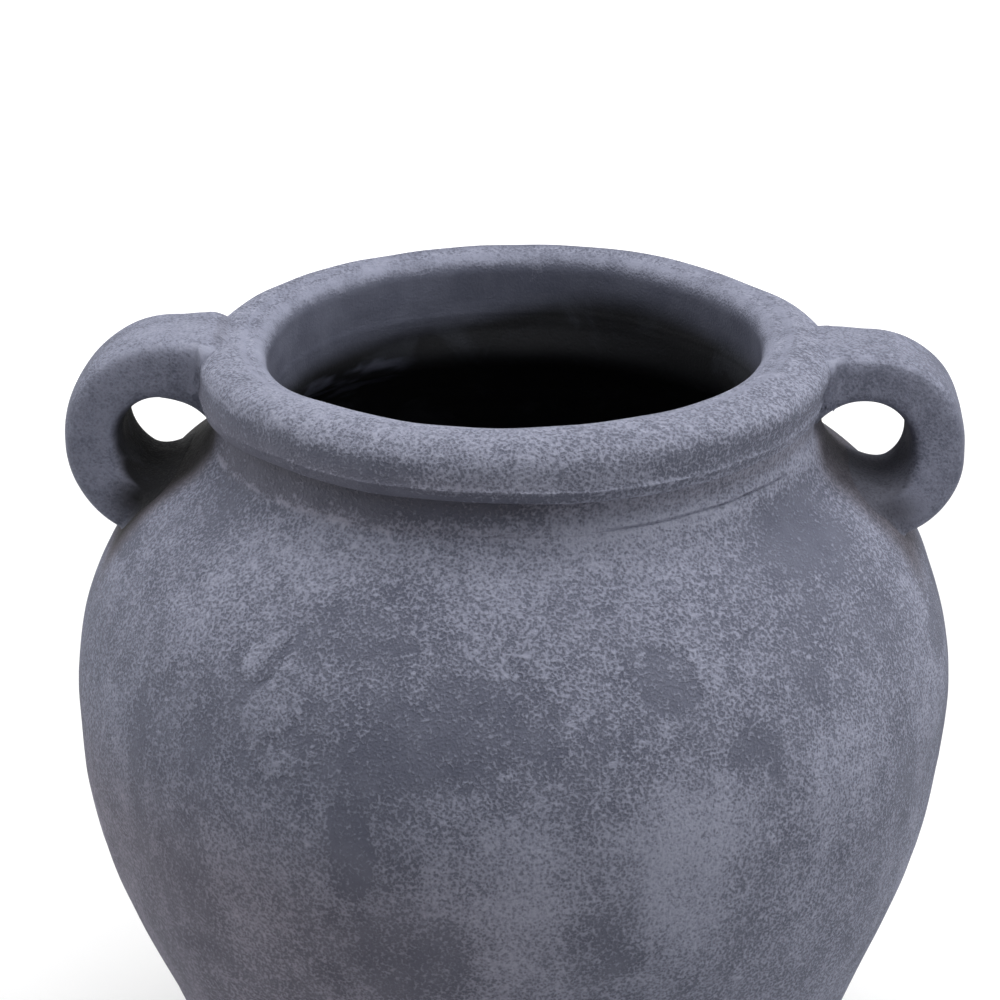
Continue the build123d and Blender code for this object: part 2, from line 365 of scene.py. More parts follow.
def paintWash(points, inside, facing, ground):   # how much wash lies on each vertex, 0 for an even coat
    spot = ragged(points, moreMarks["ragged"])
    around, radius, _ = spot
    height = points[:, 2]
    wash = np.full(len(points), float(ground))
    for *mark, blur, amount in allMarks():
        wash += amount * fadeOut(markReach(spot, *mark), 1 - blur, 1 + blur)
    turned = np.degrees(around)
    # pale lines are painted highlight, dark bands painted shade
    for lineZ, half, amount, start, stop in edgeLightAndShade:
        near = smoothStep(turned, start - edgeFade, start + edgeFade)
        near *= fadeOut(turned, stop - edgeFade, stop + edgeFade) * (facing > 0) * (radius < edgeReach)
        if amount > 0:
            gaps = np.sin(around * edgeGaps["coarse"]) + np.sin(around * edgeGaps["fine"] + 1)
            near *= smoothStep(gaps, *edgeGaps["between"])
        wash += amount * near * fadeOut(np.abs(height - lineZ), half * 0.5, half * 1.5)
    # painted shade at the top of the neck under the rim, most on the left
    onNeck = (height < rimZ) * (radius < edgeReach) * fadeOut(np.abs(turned), *neck["back"])
    toRight = smoothStep(turned, *neck["toRight"])
    dropped = height + neck["leftDrop"] * fadeOut(turned, *neck["dropTo"])
    shadedTop = smoothStep(dropped, neck["low"], neck["high"])
    shadedTop *= smoothStep(turned, *neck["start"])
    wash += onNeck * shadedTop * (neck["left"] * (1 - toRight) + neck["right"] * toRight)
    wash += onNeck * neck["foot"] * toRight * smoothStep(height, *neck["footLow"])
    thin = inside * fadeOut(height, washCoat["lipLow"], washCoat["lipTop"])
    return wash * (1 - thin) + washCoat["inside"] * thin


def paintNeckShade(points):   # painted shade at the top of the neck, under the rim
    around, _, height = unroll(points)
    turned = np.degrees(around)
    rimShade = neck["rimShade"] * (1 - neck["rimShadeRight"] * smoothStep(turned, *neck["toRight"]))
    rimShade *= smoothStep(turned, *neck["start"]) * fadeOut(turned, *neck["back"])
    return rimShade * smoothStep(height, neck["low"] + 2 * mm, neck["high"] + mm)


def paintSmear(points):
    around, _, height = ragged(points, moreMarks["ragged"])
    off = np.abs(np.degrees(around) - smears["middle"])
    smear = fadeOut(off, smears["half"] * 0.6, smears["half"])
    smear *= smoothStep(height, smears["low"] - smears["edge"], smears["low"])
    smear *= fadeOut(height, smears["high"] - smears["edge"], smears["high"])
    blotch = waves(points, moreMarks["raggedSeed"], smears["blotch"])[:, 0]
    return smear * smoothStep(blotch, *smears["blotchRange"])


def paintRawAndShade(points, inside):   # clay inside that the slip didn't reach, painted darker as shade too
    around, radius, height = unroll(points)
    fromLift = np.abs((np.degrees(around) - rawAndShadeInside["liftAt"] + 180) % 360 - 180)
    slipZ = height - rawAndShadeInside["tilt"] * points[:, 0] / np.maximum(radius, mm)
    slipZ -= rawAndShadeInside["lift"] * fadeOut(fromLift, 0, rawAndShadeInside["liftTo"])
    return inside * fadeOut(slipZ, rawAndShadeInside["full"], rawAndShadeInside["from"]) * (1 - paintSmear(points))


def paintCrookShade(points):   # painted shade under the handles, where the sponge never reached either
    x, y, _ = points.T
    blur = crookShade["blur"]
    crook = np.where(x < 0, crookShade["left"], crookShade["right"])
    crook = crook * smoothStep(np.abs(x), crookShade["nearR"], crookShade["nearR"] + blur)
    crook *= fadeOut(np.abs(x), crookShade["farR"] - blur, crookShade["farR"])
    deep = np.where(y < 0, -y, y * crookShade["backStretch"])
    return crook * fadeOut(deep, crookShade["halfDepth"] - blur, crookShade["halfDepth"] + blur)


# the strap is darkened along its seam with the shoulder as painted shade; its top is painted lighter, its
# outer face darker and its front edge paler by how they face, painted light and shade; its filler at the
# rim is pale with wash
shade = {
    "near": 3 * mm,          # distance from the shoulder
    "far": 15 * mm,
    "up": (35, 42),          # degrees up the shoulder
    "lowFrom": 5 * mm,       # below the rim
    "top": 0.2, "topTilt": (0.2, 0.9), "out": -0.3, "outTilt": (0.2, 0.8),
    "edge": 0.15, "edgeTilt": 0.62, "edgeBand": (0.08, 0.25), "edgeFront": 0.3,
    "filler": 0.6, "fillerTo": 4 * mm, "fillerFront": 0.5,
    "grit": 0.3, "topGrit": 0.3, "gritTilt": (0.3, 0.9),
}


# painted shade along the strap's seam with the shoulder and in the crook under it
def paintStrapShade(points, normals, facing):
    side = np.where(points[:, 0] < 0, crookShade["left"], crookShade["right"])
    _, radius, height = unroll(points)
    outX = radius - shoulderCentre.x
    outZ = height - shoulderCentre.z
    seam = fadeOut(np.hypot(outX, outZ) - jar["shoulderArc"], shade["near"], shade["far"])
    seam *= smoothStep(np.degrees(np.arctan2(outZ, outX)), *shade["up"])
    low = height < rimZ - shade["lowFrom"]
    upward = smoothStep(normals[:, 2], 0, 0.5) * low
    under = paintCrookShade(points) * np.maximum(np.clip(-1.6 * facing - 0.4, 0, 1), upward)
    return np.maximum(under, seam * side * low)


# painted light and shade by the way the strap faces, and wash in the filler at the rim
def strapWashAndLight(points, normals, facing):
    _, radius, height = unroll(points)
    toFront, up = -normals[:, 1], normals[:, 2]
    edge = fadeOut(np.abs(up - shade["edgeTilt"]), *shade["edgeBand"])
    wash = shade["edge"] * edge * (toFront > shade["edgeFront"])
    wash += shade["top"] * smoothStep(up, *shade["topTilt"])
    wash += shade["out"] * smoothStep(facing, *shade["outTilt"])
    filler = fadeOut(radius - rimR, 0, shade["fillerTo"]) * (height > rimZ)
    return wash + shade["filler"] * filler * (toFront > shade["fillerFront"])


# warm tint: low on the left, a painted warm reflection; on the left of the neck; and over the painted shade
# in the crooks
warmTints = {
    "low": 0.3, "neck": 0.15, "crook": 0.6, "strap": 0.15,
    "lowTo": (170 * mm, 225 * mm), "neckFrom": (286 * mm, 291 * mm), "neckTo": (303 * mm, 312 * mm),
    "leftFrom": (-175, -110), "leftTo": (-30, 25)}   # degrees round


def paintWarmTint(points, bareAndShade, inside, onStrap):
    if onStrap:
        return warmTints["strap"] * bareAndShade
    around, radius, height = unroll(points)
    turned = np.degrees(around)
    left = fadeOut(turned, *warmTints["leftTo"]) * smoothStep(turned, *warmTints["leftFrom"])
    low = warmTints["low"] * left * fadeOut(height, *warmTints["lowTo"])
    onNeck = smoothStep(height, *warmTints["neckFrom"]) * fadeOut(height, *warmTints["neckTo"])
    warmTint = np.maximum(low, warmTints["neck"] * onNeck * left * (radius < edgeReach))
    return np.maximum(warmTint, warmTints["crook"] * bareAndShade) * (1 - inside)


throwing = {"pitch": 11 * mm, "depth": 0.45 * mm, "low": 22 * mm, "high": 270 * mm, "fade": 12 * mm}


def throwingRings(points, inward):   # the spiral that the potter's fingers left inside
    around = np.arctan2(points[:, 1], points[:, 0])
    height = points[:, 2]
    fade = smoothStep(height, throwing["low"], throwing["low"] + throwing["fade"])
    fade *= fadeOut(height, throwing["high"] - throwing["fade"], throwing["high"])
    push = np.sin(height / throwing["pitch"] * 2 * pi - around) * throwing["depth"] * fade * inward
    points[:, :2] *= (1 + push / np.maximum(unroll(points)[1], mm))[:, None]


def readVectors(items, key):
    row = np.empty(len(items) * 3)
    items.foreach_get(key, row)
    return row.reshape(-1, 3)


# bareAndShade holds the raw clay inside and the painted shade outside
paintLayers = ("wash", "bareAndShade", "slab", "scrape", "warmTint", "grit")   # read by the material
sharpEdge = radians(40)


def finishPiece(bm, name, nodes, slot, material, ground=0.0, shape=None, part=None):
    mesh = bpy.data.meshes.new(name)
    bm.to_mesh(mesh)
    bm.free()
    points = readVectors(mesh.vertices, "co")
    normals = readVectors(mesh.vertex_normals, "vector")
    across = np.maximum(unroll(points)[1], mm)
    facing = (normals[:, 0] * points[:, 0] + normals[:, 1] * points[:, 1]) / across   # 1 outward, -1 inward
    inside = np.clip(-2 * facing, 0, 1) * (part != "strap")
    wash = paintWash(points, inside, facing, ground)
    grit = np.ones(len(points))
    if part == "strap":
        bareAndShade = paintStrapShade(points, normals, facing)
        wash += strapWashAndLight(points, normals, facing)
        grit = shade["grit"] + shade["topGrit"] * smoothStep(normals[:, 2], *shade["gritTilt"])
    else:
        bareAndShade = paintRawAndShade(points, inside)
    if part == "wall":
        # painted shade under the rim and in the crooks, outside
        bareAndShade = np.maximum(bareAndShade, np.maximum(paintNeckShade(points), paintCrookShade(points)) * (facing > 0))
    if shape:
        points = shape(points)
    throwingRings(points, inside)
    warmTint = paintWarmTint(points, bareAndShade, inside, part == "strap")
    grit *= (1 - washCoat["smoothInside"] * inside) * (1 - washCoat["smoothTinted"] * warmTint)
    slab = strokeDepth(points, trowelStrokes)
    scrape = strokeDepth(points, scrapedStrokes)
    relief = wash + np.clip(slab, 0, 1) - np.clip(scrape, 0, 1)
    coat = relief * washCoat["thickness"] * (facing > 0) / across
    points = handWarp(points)
    points[:, :2] *= (1 + coat)[:, None]
    mesh.vertices.foreach_set("co", points.ravel())
    for layer, values in zip(paintLayers, (wash, bareAndShade, slab, scrape, warmTint, grit)):
        mesh.attributes.new(layer, "FLOAT", "POINT").data.foreach_set("value", values)
    mesh.shade_smooth()
    mesh.update()
    mesh.set_sharp_from_angle(angle=sharpEdge)
    mesh.materials.append(material)
    piece = bpy.data.objects.new(name, mesh)
    scene.collection.objects.link(piece)
    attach(piece, "root")
    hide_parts(*nodes)
    print(name, len(mesh.polygons), "faces")


# materials
def toLinear(hexColour):
    parts = [int(hexColour[i:i + 2], 16) / 255 for i in (1, 3, 5)]
    return (*[c / 12.92 if c <= 0.04045 else ((c + 0.055) / 1.055) ** 2.4 for c in parts], 1)


def setInputs(tree, node, inputs):   # a node given as a value stands for its first output
    for key, value in inputs.items():
        if isinstance(value, bpy.types.Node):
            value = value.outputs[0]
        if isinstance(value, bpy.types.NodeSocket):
            tree.links.new(value, node.inputs[key])
        else:
            node.inputs[key].default_value = value


def addNode(tree, kind, inputs={}, **settings):
    node = tree.nodes.new("ShaderNode" + kind)
    for key, value in settings.items():
        setattr(node, key, value)
    setInputs(tree, node, inputs)
    return node


def startMaterial(name):
    material = bpy.data.materials.new(name)
    material.use_nodes = True
    return material, material.node_tree, material.node_tree.nodes["Principled BSDF"]


washedClay = {
    "slate": "#555868",       # bare slip
    "slateWorn": "#636676",   # bare slip, rubbed
    "wash": "#858899",        # lime wash
    "grit": "#979aab",        # grains that stand out of the wash
    "raw": "#121317",         # clay inside, without slip, near black as painted shade; the painted shade outside uses it too
    "smear": "#292b31",       # slip that ran down inside
    "warmTint": "#ffdcc8",        # warm tint, a painted reflection low down and a tint on the painted shade
    "noises": {               # size, detail, roughness, distortion
        "drift": (40 * mm, 3, 0.55, 0),       # broad patches
        "daub": (9 * mm, 3, 0.6, 0),          # dabs of the sponge
        "streak": (5 * mm, 2, 0.5, 0),        # brush streaks
        "torn": (2.2 * mm, 3, 0.6, 0),        # raggedness of a stroke's edge
        "flake": (1.35 * mm, 4, 0.68, 0.7),   # flakes of dried wash
        "rub": (14 * mm, 5, 0.65, 0),         # rubbed places in the slip
        "run": (34 * mm, 4, 0.6, 0.6),        # smears inside
    },
    "swings": {"drift": 0.14, "daub": 0.24, "streak": 0.1},   # how far each varies the coat
    "upright": (1, 1, 0.13),  # stretches the streaks
    "crumb": mm,              # spacing of the open pores
    "pit": 4.2 * mm,          # spacing of the pinholes
    "relief": 0.5 * mm,
}
soft = {"interpolation_type": "SMOOTHSTEP"}
inColour = {"data_type": "RGBA"}


# earthenware under a slate slip, sponged with a gritty lime wash: dry and matt, pale grains over dark
def makeWashedClay():
    look = washedClay
    material, tree, shader = startMaterial("limeWashedEarthenware")
    place = addNode(tree, "TexCoord").outputs["Object"]
    upright = addNode(tree, "Mapping", {"Vector": place, "Scale": look["upright"]})
    wash, bareAndShade, slab, scrape, warmTint, grit = [
        addNode(tree, "Attribute", attribute_name=layer).outputs["Fac"] for layer in paintLayers]
    noise = {}
    for name, (size, detail, roughness, distortion) in look["noises"].items():
        noise[name] = addNode(tree, "TexNoise", {
            "Vector": upright if name == "streak" else place, "Scale": 1 / size, "Detail": detail,
            "Roughness": roughness, "Distortion": distortion}).outputs["Fac"]

    # how thick the coat is
    painted = wash
    for name, swing in look["swings"].items():
        part = addNode(tree, "MapRange", {
            "Value": noise[name], 1: 0.25, 2: 0.75, 3: -swing, 4: swing}, clamp=False)
        painted = addNode(tree, "Math", {0: part, 1: painted}, operation="ADD")

    # strokes of the trowel, laid on or scraped off, with torn edges
    tear = addNode(tree, "MapRange", {
        "Value": noise["torn"], 1: 0.2, 2: 0.8, 3: -1.5, 4: 1.5}, clamp=False)
    laid = addNode(tree, "Math", {0: slab, 1: tear}, operation="ADD")
    laidOn = addNode(tree, "MapRange", {"Value": laid, 1: -0.3, 2: 0.3}, **soft)
    gone = addNode(tree, "Math", {0: scrape, 1: tear}, operation="ADD")
    goneOff = addNode(tree, "MapRange", {"Value": gone, 1: -0.3, 2: 0.3, 4: -0.4}, **soft)
    stroked = addNode(tree, "Math", {0: laidOn, 1: 0.35, 2: painted}, operation="MULTIPLY_ADD")
    coated = addNode(tree, "Math", {0: stroked, 1: goneOff}, operation="ADD")

    # pores show where the coat is thin
    crumb = addNode(tree, "TexVoronoi", {"Vector": place, "Scale": 1 / look["crumb"]})
    mixed = addNode(tree, "Mix", {0: 0.28, 2: noise["flake"], 3: crumb.outputs["Distance"]})
    spread = addNode(tree, "MapRange", {"Value": mixed, 1: 0.36, 2: 0.62, 3: -0.6, 4: 0.6}, clamp=False)
    rank = addNode(tree, "Math", {0: spread, 1: grit, 2: 0.5}, operation="MULTIPLY_ADD")
    level = addNode(tree, "Math", {0: coated, 1: rank}, operation="ADD")
    film = addNode(tree, "MapRange", {"Value": level, 1: 0.12, 2: 0.88}, **soft)
    proud = addNode(tree, "MapRange", {"Value": level, 1: 0.75, 2: 1.6}, **soft)

    # a thin veil of wash lies between the flakes
    veil = addNode(tree, "MapRange", {"Value": coated, 1: -0.25, 2: 0.6, 4: 0.5}, **soft)
    veiled = addNode(tree, "Math", {0: film, 1: veil}, operation="MAXIMUM")

    # pinholes
    pits = addNode(tree, "TexVoronoi", {"Vector": place, "Scale": 1 / look["pit"]})
    pitSize = addNode(tree, "MapRange", {
        "Value": pits.outputs["Distance"], 1: 0.08, 2: 0.2, 3: 1.0, 4: 0.0}, **soft)
    pitPick = addNode(tree, "Math", {0: pits.outputs["Color"], 1: 0.55}, operation="GREATER_THAN")
    pit = addNode(tree, "Math", {0: pitSize, 1: pitPick}, operation="MULTIPLY")
    whole = addNode(tree, "Math", {0: pit, 1: -0.7, 2: 1.0}, operation="MULTIPLY_ADD")
    coat = addNode(tree, "Math", {0: veiled, 1: whole}, operation="MULTIPLY")

    # colours from the slip outward, then the raw inside, which also colours the painted shade, and the warm
    # tint
    worn = addNode(tree, "MapRange", {"Value": noise["rub"], 1: 0.3, 2: 0.7}, **soft)
    slip = addNode(tree, "Mix", {
        0: worn, 6: toLinear(look["slate"]), 7: toLinear(look["slateWorn"])}, **inColour)
    colour = addNode(tree, "Mix", {0: coat, 6: slip.outputs[2], 7: toLinear(look["wash"])}, **inColour)
    gritty = addNode(tree, "Mix", {0: proud, 6: colour.outputs[2], 7: toLinear(look["grit"])}, **inColour)
    smear = addNode(tree, "MapRange", {"Value": noise["run"], 1: 0.52, 2: 0.66}, **soft)
    inside = addNode(tree, "Mix", {
        0: smear, 6: toLinear(look["raw"]), 7: toLinear(look["smear"])}, **inColour)
    # raw clay inside, and painted shade outside, in the raw colours
    shown = addNode(tree, "Mix", {0: bareAndShade, 6: gritty.outputs[2], 7: inside.outputs[2]}, **inColour)
    tinted = addNode(tree, "Mix", {
        0: warmTint, 6: shown.outputs[2], 7: toLinear(look["warmTint"])}, blend_type="MULTIPLY", **inColour)

    # relief and dryness
    raised = addNode(tree, "Math", {0: coat, 1: 0.5}, operation="MULTIPLY")
    height = addNode(tree, "Math", {0: rank, 1: 0.5, 2: raised}, operation="MULTIPLY_ADD")
    strokeHeight = addNode(tree, "Math", {0: laidOn, 1: goneOff}, operation="ADD")
    total = addNode(tree, "Math", {0: height, 1: strokeHeight}, operation="ADD")
    bump = addNode(tree, "Bump", {"Height": total, "Distance": look["relief"], "Strength": 0.8})
    rough = addNode(tree, "MapRange", {"Value": coat, 3: 0.74, 4: 0.93})
    setInputs(tree, shader, {
        "Base Color": tinted.outputs[2], "Normal": bump, "Roughness": rough, "Specular IOR Level": 0.3})
    return material


rawClay = {"dark": "#26272b", "light": "#38393f", "pore": 6 * mm, "relief": 0.5 * mm}


# open clay of the coils inside, pressed by hand: darker than the slip, with coarse pores
def makeRawClay():
    look = rawClay
    material, tree, shader = startMaterial("pressedRawClay")
    place = addNode(tree, "TexCoord").outputs["Object"]
    pores = addNode(tree, "TexNoise", {
        "Vector": place, "Scale": 1 / look["pore"], "Detail": 5, "Roughness": 0.6})
    colour = addNode(tree, "Mix", {
        0: pores.outputs["Fac"], 6: toLinear(look["dark"]), 7: toLinear(look["light"])}, **inColour)
    bump = addNode(tree, "Bump", {
        "Height": pores.outputs["Fac"], "Distance": look["relief"], "Strength": 0.5})
    setInputs(tree, shader, {
        "Base Color": colour.outputs[2], "Normal": bump, "Roughness": 0.85, "Specular IOR Level": 0.25})
    return material


washed = makeWashedClay()
raw = makeRawClay()
inWash = {"slot": "washed_clay", "material": washed}
print("materials made")


# floor and wall sections, each closed in itself
def makeBaseDisc():
    edge = jar["footEdge"]
    bm = spinOutline(0, 0, [
        (jar["footR"] - edge, 0, 10),
        (flat(jar["footR"] - edge, edge), pi / 2 + taperAngle, 5),
        (taperR(baseZ), baseZ, 6),
        (0, baseZ, 14),
    ])
    finishPiece(bm, "baseDisc", ["base_disc"], **inWash)


def makeLowerWall():
    wall = jar["wall"]
    taperTop = onCircle(lowerCentre, jar["lowerArc"], taperAngle)
    bm = spinOutline(taperR(baseZ), baseZ, [
        (taperTop.x, taperTop.z, 56),
        (lowerCentre, -taperAngle, 44),
        (bellyR - wall, bellyZ, 3),
        (lowerCentre, taperAngle, 18),
        (taperR(baseZ) - wall / cos(taperAngle), baseZ, 26),
        (taperR(baseZ) - wall * 0.3, baseZ, 2),
    ])
    finishPiece(bm, "lowerWall", ["lower_wall"], **inWash)


# the shoulder's edge stands upright under the neck, and the neck is a hair wider, then hollow
neckLip = {"height": 1.2 * mm, "over": 0.15 * mm, "hollow": 0.4 * mm, "hollowUp": 4 * mm, "seat": 3 * mm}


def makeUpperWall():
    lipAngle = asin((coveCentre.z - creaseZ + neckLip["height"]) / jar["cove"])
    creaseR = onCircle(coveCentre, jar["cove"], pi + creaseAngle).x
    insideR = onCircle(turnCentre, jar["neckTurn"], pi + turnAtCrease).x
    bm = spinOutline(bellyR, bellyZ, [
        (shoulderCentre, coveAngle, 76),
        (coveCentre, lipAngle - coveAngle, 14),
        (creaseR, creaseZ - neckLip["height"] / 2, 2),
        (creaseR, creaseZ, 2),
        (insideR, creaseZ, 5),
        (turnCentre, turnAngle - turnAtCrease, 10),
        (shoulderCentre, -turnAngle, 24),
        (bellyR - jar["wall"] * 0.3, bellyZ, 2),
    ])
    finishPiece(bm, "upperWall", ["upper_wall"], **inWash, part="wall")


# a tool was run along part of the neck seam, outside: degrees round
tool = {"from": 14, "to": 62, "fade": 6, "depth": 0.9 * mm, "height": 0.8 * mm, "outside": 8 * mm}


def cutToolLine(points):
    around, radius, height = unroll(points)
    turned = np.degrees(around)
    along = smoothStep(turned, tool["from"], tool["from"] + tool["fade"])
    along *= fadeOut(turned, tool["to"] - tool["fade"], tool["to"])
    low = fadeOut(height - creaseZ, tool["height"] * 0.4, tool["height"])
    cut = tool["depth"] * along * low * (radius > jar["neckInR"] + tool["outside"])
    points[:, :2] *= (1 - cut / radius)[:, None]
    return points


def makeNeckCollar():
    start = onCircle(coveCentre, jar["cove"], pi + creaseAngle)
    bm = spinOutline(start.x + neckLip["over"], creaseZ, [
        (jar["neckR"] - neckLip["hollow"], creaseZ + neckLip["hollowUp"], 8),
        (jar["neckR"], rimZ, 10),
        (jar["neckInR"], rimZ, 6),
        (jar["neckInR"], turnCentre.z, 6),
        (turnCentre, turnAtCrease, 4),
        (start.x - neckLip["seat"], creaseZ, 4),
    ])
    finishPiece(bm, "neckCollar", ["neck_collar"], **inWash, shape=cutToolLine, part="wall")


rimShape = {
    "hang": 1.8 * mm,        # the band hangs over the top of the neck
    "hangFrom": (1.5 * mm, 1.2 * mm),   # its back, inside the neck's edge, above and below
    "under": 0.5 * mm,       # the band leans in this far
    "corner": 2.4 * mm,      # rounding of the lowest edge
    "arris": 4.2 * mm,       # tooled edge above the lowest edge
    "tooled": [(0, -0.3 * mm, 4), (0.1 * mm, 0.2 * mm, 2), (-0.25 * mm, mm, 2)],   # out, up, steps
    "lean": radians(8),      # of the face above the arris
    "shoulder": 9 * mm,      # rounding at the top of the face
    "slope": radians(40),    # where it meets the broader rounding
    "crown": 15 * mm,        # broad rounding of the top
    "lip": 7 * mm, "dish": mm,
    "tip": 0.7 * mm,         # the rim is tipped up at the back
    "mouthTip": 1.2 * mm,    # and the mouth up on the right
    "move": -0.6 * mm,       # the rim sits to the left
    "full": [(75, 110, 3.4 * mm), (-58, 58, 2.8 * mm)],   # fuller crown: degrees round, reach, amount
    "tuck": (72, 60, 2.6 * mm),         # the face is drawn in at its foot: degrees round, reach, amount
    "tuckTo": (304 * mm, 314 * mm),
    "tuckFrom": (jar["neckR"], rimR - 3 * mm),
    "wash": 0.22,
}


def tipRim(points):
    rim = rimShape
    around, radius, height = unroll(points)
    lipR = jar["mouthR"] + rim["lip"]
    high = smoothStep(height, rimZ, topZ - rim["lip"])
    inner = high * fadeOut(radius, lipR, rimR - rim["lip"])
    outer = np.maximum(high, smoothStep(radius, jar["neckR"] - mm, jar["neckR"] + mm))
    t = np.clip((radius - lipR) / (rimR - lipR), 0, 1)
    for at, reach, amount in rim["full"]:
        turned = (np.degrees(around) - at + 180) % 360 - 180
        full = amount * 4 * t * (1 - t) * fadeOut(np.abs(turned), 0, reach) * high
        points[:, :2] *= (1 + full / radius)[:, None]
    at, reach, amount = rim["tuck"]
    tuck = amount * fadeOut(np.abs(np.degrees(around) - at), 0, reach)
    tuck *= fadeOut(height, *rim["tuckTo"]) * smoothStep(radius, *rim["tuckFrom"])
    points[:, :2] *= (1 - tuck / radius)[:, None]
    points[:, 2] += rim["mouthTip"] * np.sin(around) * inner - rim["tip"] * np.cos(around) * high
    points[:, 0] += rim["move"] * outer
    return points


def makeRimRing():
    rim = rimShape
    lipR = jar["mouthR"] + rim["lip"]
    lowZ = rimZ - rim["hang"]
    arrisZ = lowZ + rim["arris"]
    cornerR = rimR - rim["under"] - rim["corner"]
    lipZ = topZ - rim["dish"] - rim["lip"]
    crownZ = topZ - rim["crown"]
    shoulderZ = crownZ + (rim["crown"] - rim["shoulder"]) * sin(rim["slope"])
    faceZ = shoulderZ + rim["shoulder"] * sin(rim["lean"])
    faceR = rimR - (faceZ - arrisZ) * sin(rim["lean"]) / cos(rim["lean"])
    shoulderR = faceR - rim["shoulder"] * cos(rim["lean"])
    crownR = shoulderR - (rim["crown"] - rim["shoulder"]) * cos(rim["slope"])
    bm = spinOutline(jar["neckInR"], rimZ, [
        (jar["neckR"] - rim["hangFrom"][0], rimZ, 8),
        (jar["neckR"] - rim["hangFrom"][1], lowZ, 2),
        (cornerR, lowZ, 4),
        (flat(cornerR, lowZ + rim["corner"]), pi / 2, 5),
        *[(rimR + out, arrisZ + up, steps) for out, up, steps in rim["tooled"]],
        (faceR, faceZ, 8),
        (flat(shoulderR, shoulderZ), rim["slope"] - rim["lean"], 6),
        (flat(crownR, crownZ), pi / 2 - rim["slope"], 14),
        (lipR, topZ - rim["dish"], 3),
        (flat(lipR, lipZ), pi / 2, 12),
        (jar["neckInR"], rimZ + 0.05 * mm, 8),   # stops just short of the start
    ])
    finishPiece(bm, "rimRing", ["rim_ring"], **inWash, ground=rim["wash"], shape=tipRim)


# coils pressed over the seams inside: rise into the jar, half height, depth behind the wall, place, wash
coils = {
    "neckRidge": {"rise": 0.08 * mm, "half": 2 * mm, "back": 2 * mm, "z": rimZ - 4.5 * mm, "wash": -0.5},
    "bellyCoil": {"rise": 3 * mm, "half": 9.3 * mm, "back": 2 * mm, "z": bellyZ, "wash": 0},
    "baseCoil": {"leg": 14 * mm, "hollow": 2 * mm},
    "steps": 12,
    "presses": 40,           # finger presses round a coil
    "unevenness": 7,         # swells of their spacing
    "pressDepth": 0.25,
}


def pressed(wallR):   # fingers flattened the coil in turn
    def shape(points):
        around = np.arctan2(points[:, 1], points[:, 0])
        radius = unroll(points)[1]
        rise = np.maximum(0, wallR - radius)
        spacing = np.sin(around * coils["unevenness"])
        push = rise * coils["pressDepth"] * np.sin(around * coils["presses"] + spacing)
        points[:, :2] *= (1 + push / radius)[:, None]
        return points
    return shape


def makeWallCoil(name, node, material, wallR):
    coil = coils[name]
    moves = [(wallR, coil["z"] - coil["half"], 1)]
    for step in range(1, coils["steps"] + 1):
        t = 2 * step / coils["steps"] - 1
        moves.append((wallR - coil["rise"] * (1 + cos(pi * t)) / 2, coil["z"] + t * coil["half"], 1))
    moves.append((wallR + coil["back"], coil["z"] + coil["half"], 1))
    bm = spinOutline(wallR + coil["back"], coil["z"] - coil["half"], moves)
    finishPiece(bm, name, [node], "raw_clay", material, ground=coil["wash"], shape=pressed(wallR))


def makeBaseCoil():
    coil = coils["baseCoil"]
    cornerR = taperR(baseZ) - jar["wall"] / cos(taperAngle)
    up = flat(cornerR - sin(taperAngle) * coil["leg"], baseZ + cos(taperAngle) * coil["leg"])
    over = flat(cornerR - coil["leg"], baseZ)
    middle = (up + over) / 2
    middle += (flat(cornerR, baseZ) - middle).normalized() * coil["hollow"] * 2
    moves = [(up.x, up.z, 3)]
    for step in range(1, coils["steps"] + 1):
        t = step / coils["steps"]
        point = up * (1 - t) ** 2 + middle * 2 * t * (1 - t) + over * t * t
        moves.append((point.x, point.z, 1))
    bm = spinOutline(cornerR, baseZ, moves + [(cornerR - mm, baseZ, 3)])
    finishPiece(bm, "baseCoil", ["base_coil"], "raw_clay", raw, shape=pressed(cornerR))


makeBaseDisc()
makeLowerWall()
makeUpperWall()
makeNeckCollar()
makeRimRing()
makeWallCoil("neckRidge", "neck_coil", washed, jar["neckInR"])
makeWallCoil("bellyCoil", "belly_coil", raw, bellyR - jar["wall"])
makeBaseCoil()
print("walls made")

